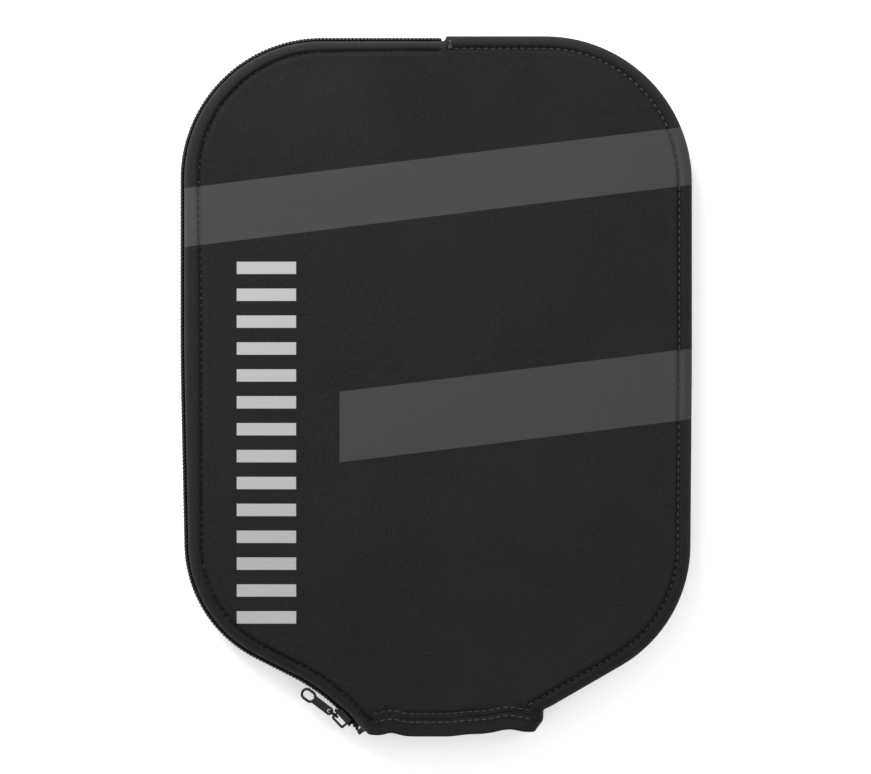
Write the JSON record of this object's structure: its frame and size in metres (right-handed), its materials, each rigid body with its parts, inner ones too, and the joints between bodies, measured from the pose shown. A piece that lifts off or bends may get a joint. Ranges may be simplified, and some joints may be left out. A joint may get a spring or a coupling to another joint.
{
  "type": "paddle case",
  "caption": "Fitted neoprene cover for a pickleball paddle, zipped round one side, with rounded corners, a hemmed mouth for the handle and a slider with a hanging pull tab.",
  "frame": {"origin": "bottom centre of the whole case as it lies on its back panel", "axes": "+Y along the case's length, from the mouth to the top; +Z through its thickness, out of the front panel; +X across its width, with the zip on the -X side"},
  "size_m": [0.22, 0.301, 0.024],
  "materials": {
    "neoprene": "black knit-faced neoprene with a soft sheen",
    "zip_tape": "black woven polyester",
    "zip_coil": "black nylon monofilament",
    "slider_metal": "glossy black enamel",
    "thread": "black sewing thread"
  },
  "bodies": {
    "case_back": {"back_panel": "neoprene", "front_panel_fixed": "neoprene", "back_zip_tape": "zip_tape", "back_zip_coil": "zip_coil", "back_zip_stop": "slider_metal", "zip_end_bartack": "thread", "back_zip_stitching": "thread", "back_seam_stitching": "thread", "front_seam_stitching": "thread", "back_hem_stitching": "thread"},
    "front_flap": {"front_panel_flap": "neoprene", "front_zip_tape": "zip_tape", "front_zip_coil": "zip_coil", "front_zip_stop": "slider_metal", "front_zip_stitching": "thread", "front_hem_stitching": "thread"},
    "slider": {"slider_body": "slider_metal", "slider_bail": "slider_metal"},
    "link": {"pull_link": "slider_metal"},
    "tab": {"pull_tab": "slider_metal"}
  },
  "joints": [
    {"name": "flap_open", "type": "hinge", "parent": "case_back", "child": "front_flap", "pos_m": [0.0463, -0.1388, 0.024], "axis": [-0.1477, 0.989, 0], "range_deg": [0, 165]},
    {"name": "slider_travel", "type": "hinge", "parent": "case_back", "child": "slider", "pos_m": [-0.09754, -0.19655, 0.012], "axis": [0, 0, 1], "range_deg": [0, 19], "deforming": ["front_zip_coil", "back_zip_coil"]},
    {"name": "link_swing", "type": "hinge", "parent": "slider", "child": "link", "pos_m": [-0.04226, -0.14207, 0.012], "axis": [0, 0, 1], "range_deg": [0, 90]},
    {"name": "tab_swing", "type": "hinge", "parent": "link", "child": "tab", "pos_m": [-0.04579, -0.13944, 0.012], "axis": [0, 0, 1], "range_deg": [0, 60]}
  ]
}
